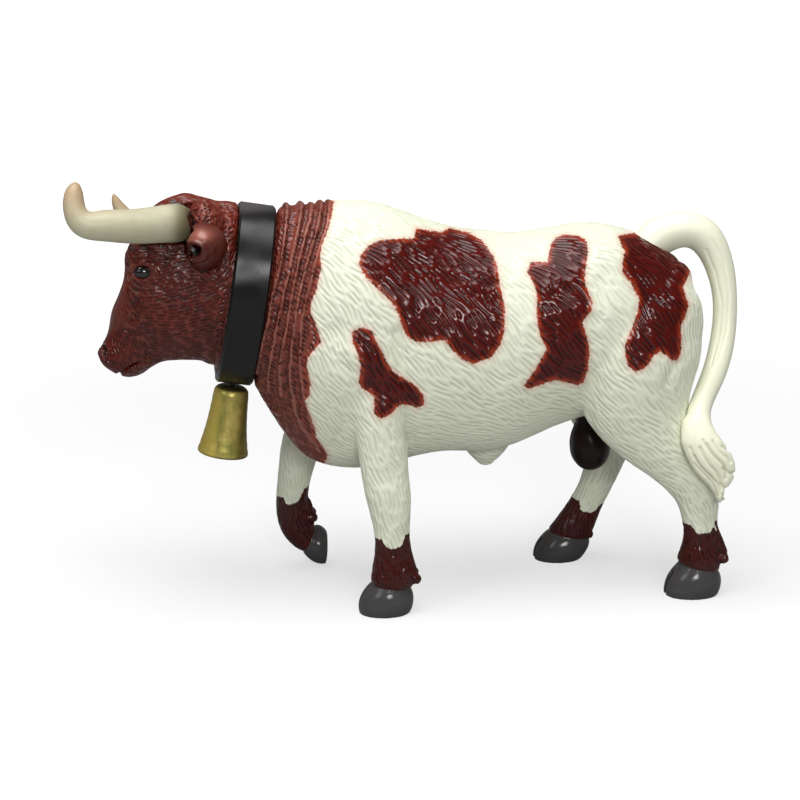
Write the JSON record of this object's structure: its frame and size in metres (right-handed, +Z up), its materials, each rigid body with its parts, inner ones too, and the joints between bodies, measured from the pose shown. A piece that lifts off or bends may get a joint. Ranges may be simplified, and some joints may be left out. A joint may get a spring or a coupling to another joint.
{
  "type": "cow figurine",
  "caption": "Standing horned cattle figurine in a walking pose, with a wide neck collar and a bell that tilts under it.",
  "frame": {"origin": "centre of the figurine's outer box on the surface that it stands on", "axes": "+Z up, the animal faces -X, its left side is towards -Y"},
  "size_m": [0.1471, 0.0544, 0.0967],
  "materials": {
    "coat": "satin paint, cream with red-brown patches, dark brown fetlocks and grey hooves",
    "head_brown": "satin red-brown paint with lighter brushed hair",
    "horn_ivory": "satin ivory paint with tan shading",
    "dark_skin": "glossy dark brown paint",
    "collar_black": "glossy black paint",
    "bell_gold": "metallic gold paint, lightly brushed"
  },
  "bodies": {
    "figurine": {"body_left_half": "coat", "body_right_half": "coat", "head": "head_brown", "left_horn": "horn_ivory", "right_horn": "horn_ivory", "left_ear": "head_brown", "right_ear": "head_brown", "tail": "coat", "scrotum": "dark_skin", "collar": "collar_black"},
    "bell": {"bell": "bell_gold"}
  },
  "joints": [
    {"name": "bell_swing", "type": "hinge", "parent": "figurine", "child": "bell", "pos_m": [-0.04037, -0.00395, 0.04604], "axis": [0, 1, 0], "range_deg": [-8, 8]}
  ]
}
